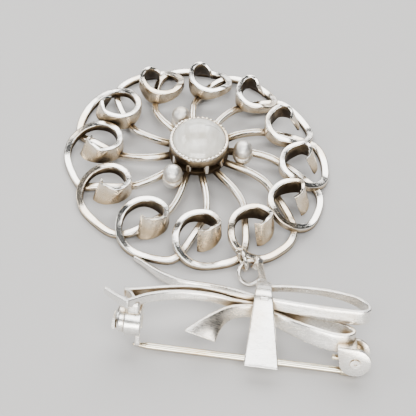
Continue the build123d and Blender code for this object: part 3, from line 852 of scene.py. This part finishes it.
def slab(outline, low, high, soften=0.1):
    """Flat piece across the bow: an outline of (x, front) from w low to w high. Its two rims round
    over by insets that follow a quarter circle."""
    outline = np.asarray(outline, float)
    way = unit(np.roll(outline, -1, 0) - np.roll(outline, 1, 0))
    inward = np.stack([-way[:, 1], way[:, 0]], -1)
    middle = outline.mean(0)
    if ((middle - outline) * inward).sum() < 0:
        inward = -inward
    turn = np.radians([80, 50, 25, 0])
    inset = np.concatenate([1 - np.cos(turn), (1 - np.cos(turn))[::-1]]) * soften
    place = np.concatenate(
        [low + soften * (1 - np.sin(turn)), high - soften * (1 - np.sin(turn))[::-1]]
    )
    flat = outline[None] + inward[None] * inset[:, None, None]
    return in_bow(flat[..., 0], flat[..., 1], place[:, None]), False, None


ear_top = -hinge_back + ear_radius
ear_left = hinge_x - ear_length
ear_corner = np.array([ear_left, ear_top - ear_edge])
rivet_spot = np.array([hinge_x, -hinge_back])
gap = rivet_spot - ear_corner
ear_turn = math.asin(ear_radius / np.linalg.norm(gap))
touch_aim = math.atan2(gap[1], gap[0]) - ear_turn - math.pi / 2
round_end = np.linspace(touch_aim, math.pi / 2, 36)
round_end = rivet_spot + ear_radius * np.stack([np.cos(round_end), np.sin(round_end)], -1)
ear_sides = rounded_profile(
    (round_end[-1], (ear_left, ear_top), ear_corner, round_end[0]), 0.15, 4
)[4:-4]
outline = np.concatenate([round_end, ear_sides])
near_low = hinge_middle_w + ear_inner
spread = 2 * (ear_inner + ear_thickness)
plate = rounded_profile(
    (
        (ear_left, ear_top - ear_thickness), (hinge_x, ear_top - ear_thickness),
        (hinge_x, ear_top), (ear_left, ear_top),
    ), 0.08,
)
hinge_piece = skin(
    "hinge_ears",
    [
        slab(outline, near_low, near_low + ear_thickness),
        slab(outline, far_ear_w, far_ear_w + ear_thickness),
        slab(plate, hinge_middle_w - spread / 2 + 0.02, hinge_middle_w + spread / 2 - 0.02, 0.06),
    ],
)

# Catch: a sheet rolled round the lever's axis, with its slot at the back and a square window
wall_radius = barrel_radius - barrel_wall / 2
slot_half = math.degrees(math.asin(slot_width / 2 / wall_radius))
window_turn = 90 - window_from_up
window_half = math.degrees(window_size / 2 / wall_radius)
barrel_stops = np.concatenate(
    [
        np.linspace(-180 + slot_half, window_turn - window_half, 34)[:-1],
        np.linspace(window_turn - window_half, window_turn + window_half, 6),
        np.linspace(window_turn + window_half, 180 - slot_half, 26)[1:],
    ]
)
window_share = window_size / 2 / barrel_length
barrel_x = np.array([-0.5, -0.37, -window_share, 0, window_share, 0.37, 0.5])
barrel_x = catch_x + barrel_x * barrel_length


def barrel_mesh():
    """Middle surface of the barrel: x along the bow against the angle from the front, without the
    cells of the window. Solidify gives it its wall and Bevel rounds its edges."""
    angle = np.radians(barrel_stops)[:, None]
    grid = in_bow(
        barrel_x[None, :] + 0 * angle,
        -catch_back + wall_radius * np.cos(angle) + 0 * barrel_x,
        hinge_middle_w + wall_radius * np.sin(angle) + 0 * barrel_x,
    )
    rows, columns = grid.shape[:2]
    index = np.arange(rows * columns).reshape(rows, columns)
    quads = np.stack([index[:-1, :-1], index[1:, :-1], index[1:, 1:], index[:-1, 1:]], -1)
    middle_turn = (barrel_stops[1:] + barrel_stops[:-1]) / 2
    middle_x = (barrel_x[1:] + barrel_x[:-1]) / 2
    open_cell = (np.abs(middle_turn - window_turn) < window_half)[:, None] & (
        np.abs(middle_x - catch_x) < window_size / 2
    )
    mesh = bpy.data.meshes.new("catch_barrel")
    mesh.from_pydata((grid.reshape(-1, 3) * MM).tolist(), [], quads[~open_cell].tolist())
    mesh.polygons.foreach_set("use_smooth", np.ones(len(mesh.polygons), bool))
    mesh.update()
    made = in_scene("catch_barrel", mesh)
    wall = made.modifiers.new("wall", "SOLIDIFY")
    wall.thickness = barrel_wall * MM
    wall.offset = 0
    edges = made.modifiers.new("edges", "BEVEL")
    edges.width = 0.09 * MM
    edges.segments = 2
    edges.limit_method = "ANGLE"
    edges.angle_limit = math.radians(50)
    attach(made, "root")
    return made


barrel_piece = barrel_mesh()
bore_radius = barrel_radius - barrel_wall
guide_length = barrel_radius * 0.75
guide_top = -catch_back - bore_radius
guide_x = catch_x + barrel_length * 0.34
guide_w = hinge_middle_w + slot_width / 2 + barrel_wall / 2
post_w = hinge_middle_w + barrel_wall
post_depth = barrel_wall * 4.2
catch_piece = skin(
    "catch_mount",
    [
        straight(
            in_bow(guide_x, guide_top + 0.1, guide_w),
            in_bow(guide_x, guide_top - guide_length + 0.1, guide_w),
            along, barrel_length * 0.32, barrel_wall, 0.35,
        ),
        straight(
            in_bow(catch_x, -catch_back + barrel_radius - barrel_wall * 0.6, post_w),
            in_bow(catch_x, ribbon_width * 0.35, post_w),
            along, barrel_length * 0.75, post_depth, 0.2,
        ),
    ],
)

# Pin: wire with a long point and a square root, knuckle round the rivet, web and heel
pin_y = -hinge_back - pin_drop
tip_x = hinge_x - pin_length
root_left = hinge_x - knuckle_radius
root_length = knuckle_radius * 1.4
wire_end = root_left + root_length / 2 - tip_x
point_stops = np.array(pin_point_stops) * pin_point
point_radius = np.interp(point_stops, [0, pin_point], [pin_tip_radius, pin_wire / 2])
point_radius[0] *= 0.4
wire_stops = np.r_[point_stops, np.linspace(pin_point + 0.3, wire_end, 30)]
wire_radius = np.r_[point_radius, np.full(30, pin_wire / 2)]
wire_shell = turned(wire_radius, wire_stops, in_bow(tip_x, pin_y, hinge_middle_w), along, 32)
knuckle_turn = np.linspace(0, 2 * np.pi, 64, endpoint=False)
knuckle_profile = rounded_profile(
    (
        (knuckle_radius, -knuckle_width / 2), (knuckle_radius, knuckle_width / 2),
        (rivet_radius + 0.05, knuckle_width / 2), (rivet_radius + 0.05, -knuckle_width / 2),
    ), 0.12,
)
knuckle_grid = in_bow(
    hinge_x + knuckle_profile[None, :, 0] * np.cos(knuckle_turn)[:, None],
    -hinge_back + knuckle_profile[None, :, 0] * np.sin(knuckle_turn)[:, None],
    hinge_middle_w + knuckle_profile[None, :, 1] + 0 * knuckle_turn[:, None],
)
pin_piece = skin(
    "pin_wire",
    [
        wire_shell,
        (knuckle_grid, True, None),
        straight(
            in_bow(hinge_x, -hinge_back - knuckle_radius * 0.75, hinge_middle_w),
            in_bow(hinge_x, pin_y, hinge_middle_w),
            along, knuckle_radius * 1.1, pin_wire * 0.9, 0.3,
        ),
        straight(
            in_bow(root_left, pin_y, hinge_middle_w),
            in_bow(root_left + root_length, pin_y, hinge_middle_w),
            lift, pin_root, pin_root, 0.16,
        ),
        straight(
            in_bow(hinge_x - heel_length, -hinge_back - pin_wire * 0.4, hinge_middle_w),
            in_bow(hinge_x - knuckle_radius * 0.7, -hinge_back - pin_wire * 0.4, hinge_middle_w),
            front, pin_wire * 0.6, pin_wire * 0.8, 0.3,
        ),
    ],
    "pin",
)

# Materials


def feed(tree, value, socket):
    """Gives a socket a plain value, or links another node's output to it."""
    if isinstance(value, (int, float, tuple)):
        socket.default_value = value
    else:
        tree.links.new(value, socket)


def maths(tree, kind, *values, clamp=False):
    """Output of a Math node."""
    node = tree.nodes.new("ShaderNodeMath")
    node.operation = kind
    node.use_clamp = clamp
    for value, socket in zip(values, node.inputs):
        feed(tree, value, socket)
    return node.outputs[0]


def spread(tree, value, low, high):
    """Smooth step from 0 at the low value to 1 at the high one."""
    node = tree.nodes.new("ShaderNodeMapRange")
    node.interpolation_type = "SMOOTHSTEP"
    node.inputs["From Min"].default_value = low
    node.inputs["From Max"].default_value = high
    tree.links.new(value, node.inputs["Value"])
    return node.outputs["Result"]


def mixed(tree, share, first, second):
    """Colour between two, by the share of the second."""
    node = tree.nodes.new("ShaderNodeMix")
    node.data_type = "RGBA"
    tree.links.new(share, node.inputs["Factor"])
    colours = [socket for socket in node.inputs if socket.type == "RGBA"]
    for value, socket in zip((first, second), colours):
        feed(tree, value, socket)
    return next(socket for socket in node.outputs if socket.type == "RGBA")


def mapped(tree, place, location=(0, 0, 0), rotation=(0, 0, 0), scale=(1, 1, 1)):
    """Place scaled, turned and then moved."""
    node = tree.nodes.new("ShaderNodeMapping")
    for name, value in (("Location", location), ("Rotation", rotation), ("Scale", scale)):
        node.inputs[name].default_value = value
    tree.links.new(place, node.inputs["Vector"])
    return node.outputs["Vector"]


def noise(tree, place, scale, detail, roughness=0.6):
    """Cloudy values about 0.5, with spots of about one metre over the scale."""
    node = tree.nodes.new("ShaderNodeTexNoise")
    for name, value in (("Scale", scale), ("Detail", detail), ("Roughness", roughness)):
        node.inputs[name].default_value = value
    tree.links.new(place, node.inputs["Vector"])
    return node.outputs["Fac"]


def age_and_shade_group():
    """Effect on silver of tarnish and of painted shade: colour, roughness and height from the
    place on the piece, a mask of tarnish and painted shade, and the amounts of that darkening and
    of film."""
    group = bpy.data.node_groups.new("silver_age_and_shade", "ShaderNodeTree")
    sockets = group.interface
    for name, kind, default in (
        ("Place", "NodeSocketVector", None),
        ("TarnishAndShade", "NodeSocketFloat", 0.0),
        ("Tarnish", "NodeSocketFloat", 1.0),
        ("Film", "NodeSocketFloat", 0.5),
        ("Grain", "NodeSocketFloat", 1.0),
        ("Polish", "NodeSocketFloat", 0.16),
        ("Silver", "NodeSocketColor", (0.93, 0.91, 0.87, 1)),
    ):
        made = sockets.new_socket(name=name, in_out="INPUT", socket_type=kind)
        if default is not None:
            made.default_value = default
    for name, kind in (("Color", "NodeSocketColor"), ("Roughness", "NodeSocketFloat"),
                       ("Height", "NodeSocketFloat")):
        sockets.new_socket(name=name, in_out="OUTPUT", socket_type=kind)
    given = group.nodes.new("NodeGroupInput").outputs
    out = group.nodes.new("NodeGroupOutput").inputs
    place = given["Place"]

    blotch = noise(group, place, 420, 4)
    broad = noise(group, place, 130, 3)
    pits = noise(group, place, 5200, 3, 0.7)
    hammer = noise(group, place, 900, 2, 0.5)
    brushed = mapped(group, place, rotation=(0.3, 0.2, 0.8), scale=(1, 9, 1))
    rub = noise(group, brushed, 1500, 3, 0.7)

    # The mask darkens the silver as tarnish and as painted shade: golden where it is light, black
    # where it is deep
    broken = maths(group, "MULTIPLY", given["TarnishAndShade"], maths(group, "ADD", blotch, 0.45))
    broken = maths(group, "MULTIPLY", broken, given["Tarnish"])
    deep = spread(group, broken, 0.25, 0.85)
    edge = spread(group, broken, 0.08, 0.45)
    # golden film from broad noise, joined by the golden edge of the darkening
    film = maths(group, "MULTIPLY", spread(group, broad, 0.47, 0.68), given["Film"])
    film = maths(group, "MAXIMUM", maths(group, "MULTIPLY", edge, 0.8), film, clamp=True)
    colour = mixed(group, film, given["Silver"], golden_film_and_shade)
    group.links.new(mixed(group, deep, colour, black_tarnish_and_shade), out["Color"])

    rough = maths(group, "ADD", given["Polish"], maths(group, "MULTIPLY", deep, 0.35))
    rubbed = maths(group, "MULTIPLY", spread(group, rub, 0.45, 0.75), 0.12)
    rough = maths(group, "ADD", rough, rubbed)
    rough = maths(group, "ADD", rough, maths(group, "MULTIPLY", film, 0.10), clamp=True)
    group.links.new(rough, out["Roughness"])

    height = maths(group, "MULTIPLY", pits, 0.10)
    height = maths(group, "ADD", height, maths(group, "MULTIPLY", hammer, 0.9))
    height = maths(group, "ADD", height, maths(group, "MULTIPLY", rub, 0.12))
    group.links.new(maths(group, "MULTIPLY", height, given["Grain"]), out["Height"])
    return group


silver_age_and_shade = age_and_shade_group()


def new_material(name):
    """Material with its node tree and its shader's inputs."""
    made = bpy.data.materials.new(name)
    made.use_nodes = True
    return made, made.node_tree, made.node_tree.nodes["Principled BSDF"].inputs


def silver(name, tarnish=1.0, film=0.4, grain=1.0, polish=0.14, colour=(0.93, 0.91, 0.87),
           bump=0.25):
    """Worn silver with painted shade. It darkens where little open sky reaches the surface, the
    floor and nearby pieces counting, or where the piece's own mask says so: partly tarnish in
    hollows, partly painted shade."""
    made, tree, shader = new_material(name)
    place = tree.nodes.new("ShaderNodeTexCoord").outputs["Object"]
    shader["Metallic"].default_value = 1.0
    # Lack of open sky, with the floor and other pieces counting, darkens the silver as tarnish in
    # hollows and as painted shade
    sky = tree.nodes.new("ShaderNodeAmbientOcclusion")
    sky.samples = 6
    sky.inputs["Distance"].default_value = recess_reach * MM
    own = tree.nodes.new("ShaderNodeAttribute")
    own.attribute_name = "tarnish_and_shade"
    closed = maths(tree, "SUBTRACT", 1.0, sky.outputs["AO"])
    age_and_shade = tree.nodes.new("ShaderNodeGroup")
    age_and_shade.node_tree = silver_age_and_shade
    for socket, value in (
        ("Place", place),
        ("TarnishAndShade", maths(tree, "ADD", closed, own.outputs["Fac"], clamp=True)),
        ("Tarnish", tarnish), ("Film", film), ("Grain", grain), ("Polish", polish),
        ("Silver", (*colour, 1)),
    ):
        feed(tree, value, age_and_shade.inputs[socket])
    relief = tree.nodes.new("ShaderNodeBump")
    relief.inputs["Strength"].default_value = bump
    relief.inputs["Distance"].default_value = relief_depth * MM
    tree.links.new(age_and_shade.outputs["Height"], relief.inputs["Height"])
    tree.links.new(age_and_shade.outputs["Color"], shader["Base Color"])
    tree.links.new(age_and_shade.outputs["Roughness"], shader["Roughness"])
    tree.links.new(relief.outputs["Normal"], shader["Normal"])
    return made


def moonstone_material():
    """Milky stone: silky streaks and clouds under a glossy dome, with one fine painted dark
    reflection that runs along a flat parabola of x, in millimetres from the stone's middle."""
    made, tree, shader = new_material("moonstone_milk")
    place = tree.nodes.new("ShaderNodeTexCoord").outputs["Object"]
    for name, value in (
        ("Roughness", 0.12), ("Coat Weight", 0.6), ("Coat Roughness", 0.04),
        ("Subsurface Weight", 0.3), ("Subsurface Radius", (0.002, 0.002, 0.002)),
    ):
        shader[name].default_value = value
    streaks = noise(tree, mapped(tree, place, scale=(1, 0.18, 1)), 1400, 3, 0.5)
    cloud = noise(tree, place, 260, 2, 0.5)
    ramp = tree.nodes.new("ShaderNodeValToRGB")
    stops = ((0.55, (0.60, 0.56, 0.48, 1)), (0.95, (0.90, 0.885, 0.83, 1)))
    for stop, (position, colour) in zip(ramp.color_ramp.elements, stops):
        stop.position = position
        stop.color = colour
    tree.links.new(maths(tree, "MULTIPLY_ADD", streaks, 0.5, cloud), ramp.inputs["Fac"])

    from_middle = mapped(tree, place, tuple(-wheel_middle), scale=(1 / MM, 1 / MM, 1 / MM))
    parts = tree.nodes.new("ShaderNodeSeparateXYZ")
    tree.links.new(from_middle, parts.inputs["Vector"])
    # Painted dark reflection: a thin dark curve on the dome, mixed into the base colour below
    line_x, line_y = reflection_line_middle
    across = maths(tree, "SUBTRACT", parts.outputs["X"], line_x)
    bow = maths(tree, "MULTIPLY", maths(tree, "MULTIPLY", across, across), reflection_line_bend)
    off = maths(tree, "ADD", maths(tree, "SUBTRACT", parts.outputs["Y"], line_y), bow)
    on_line = maths(tree, "LESS_THAN", maths(tree, "ABSOLUTE", off), reflection_line_width / 2)
    in_run = maths(tree, "LESS_THAN", maths(tree, "ABSOLUTE", across), reflection_line_length / 2)
    share = maths(tree, "MULTIPLY", maths(tree, "MULTIPLY", on_line, in_run), reflection_line_share)
    colour = mixed(tree, share, ramp.outputs["Color"], (0.12, 0.10, 0.08, 1))
    tree.links.new(colour, shader["Base Color"])
    return made


# Silver materials whose darkening is partly tarnish in hollows and partly painted shade
wheel_silver = silver("wheel_silver_worn_shaded", film=0.55, grain=1.3, colour=(0.93, 0.90, 0.84))
bow_silver = silver("bow_silver_worn_shaded", tarnish=1.0, film=0.3, grain=1.2, polish=0.24)
pin_silver = silver("pin_silver_worn_shaded", tarnish=0.8, film=0.9, grain=0.6, polish=0.14,
                    colour=(0.92, 0.86, 0.70))
ball_silver = silver("ball_silver_worn_shaded", film=0.3, grain=3.0, polish=0.38, bump=0.7)
stone_milk = moonstone_material()

dressed = (
    (strips, "scroll_wheel", "wheel_silver", wheel_silver),
    (setting_piece, "scroll_wheel", "wheel_silver", wheel_silver),
    (ball_piece, "scroll_wheel", "wheel_silver", ball_silver),
    (eye_piece, "scroll_wheel", "wheel_silver", wheel_silver),
    (ring_piece, "jump_ring", "bow_silver", bow_silver),
    (stone_piece, "moonstone", "moonstone", stone_milk),
    (ribbon_piece, "bow_frame", "bow_silver", bow_silver),
    (band_piece, "bow_frame", "bow_silver", bow_silver),
    (hinge_piece, "bow_frame", "bow_silver", bow_silver),
    (barrel_piece, "bow_frame", "bow_silver", bow_silver),
    (catch_piece, "bow_frame", "bow_silver", bow_silver),
    (pin_piece, "pin_stem", "pin_silver", pin_silver),
)
for piece, node, slot_name, material in dressed:
    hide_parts(node)
    piece.data.materials.append(material)
for node in ("hinge_rivet", "catch_lever"):
    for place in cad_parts[node].material_slots:
        place.material = bow_silver

# Floor, lights and camera
corners = ((-1, -1), (1, -1), (1, 1), (-1, 1))
floor_mesh = bpy.data.meshes.new("floor")
floor_mesh.from_pydata(
    [(x * floor_half, y * floor_half, 0) for x, y in corners], [], [(0, 1, 2, 3)]
)
floor = in_scene("floor", floor_mesh)
floor_paint, _, paint = new_material("floor_paint")
paint["Base Color"].default_value = (0.50, 0.49, 0.48, 1)
paint["Roughness"].default_value = 0.7
floor.data.materials.append(floor_paint)


def softbox(name, place, size, power, colour=(1, 1, 1)):
    """Area light that faces the brooch."""
    light = bpy.data.lights.new(name, "AREA")
    light.shape = "RECTANGLE"
    light.size, light.size_y = size
    light.energy = power
    light.color = colour
    turn = (-Vector(place)).to_track_quat("-Z", "Y").to_matrix().to_4x4()
    in_scene(name, light).matrix_world = Matrix.Translation(place) @ turn


softbox("sky_light", (-0.02, 0.35, 0.42), (0.62, 0.40), 5.6)
softbox("top_light", (0.03, -0.21, 0.47), (0.56, 0.26), 3.4)
softbox("window_light", (-0.45, 0.02, 0.26), (0.26, 0.12), 0.9)
softbox("far_light", (0.05, 0.62, 0.09), (0.60, 0.08), 0.7)
softbox("front_light", (-0.02, -0.52, 0.10), (0.56, 0.18), 4.2, (1.0, 0.98, 0.94))

world = bpy.data.worlds.new("room")
world.use_nodes = True
room = world.node_tree.nodes["Background"].inputs
room["Color"].default_value = (0.9, 0.95, 1.0, 1)
room["Strength"].default_value = 0.05
bpy.context.scene.world = world

origin = shift * np.array([1, 1, 0])
view_from = origin + camera_distance * np.array([0, -math.cos(camera_lift), math.sin(camera_lift)])
away_from_eye = unit(origin - view_from)
right = np.array([1.0, 0, 0])
over = np.cross(right, away_from_eye)
camera_right = math.cos(camera_roll) * right + math.sin(camera_roll) * over
camera_up = math.cos(camera_roll) * over - math.sin(camera_roll) * right
lens = bpy.data.cameras.new("camera")
lens.sensor_width = 36.0
lens.lens = camera_lens
lens.clip_start = 0.005
camera = in_scene("camera", lens)
pose = np.eye(4)
pose[:3, 0], pose[:3, 1], pose[:3, 2] = camera_right, camera_up, -away_from_eye
pose[:3, 3] = view_from * MM
camera.matrix_world = Matrix(pose.tolist())
bpy.context.scene.camera = camera
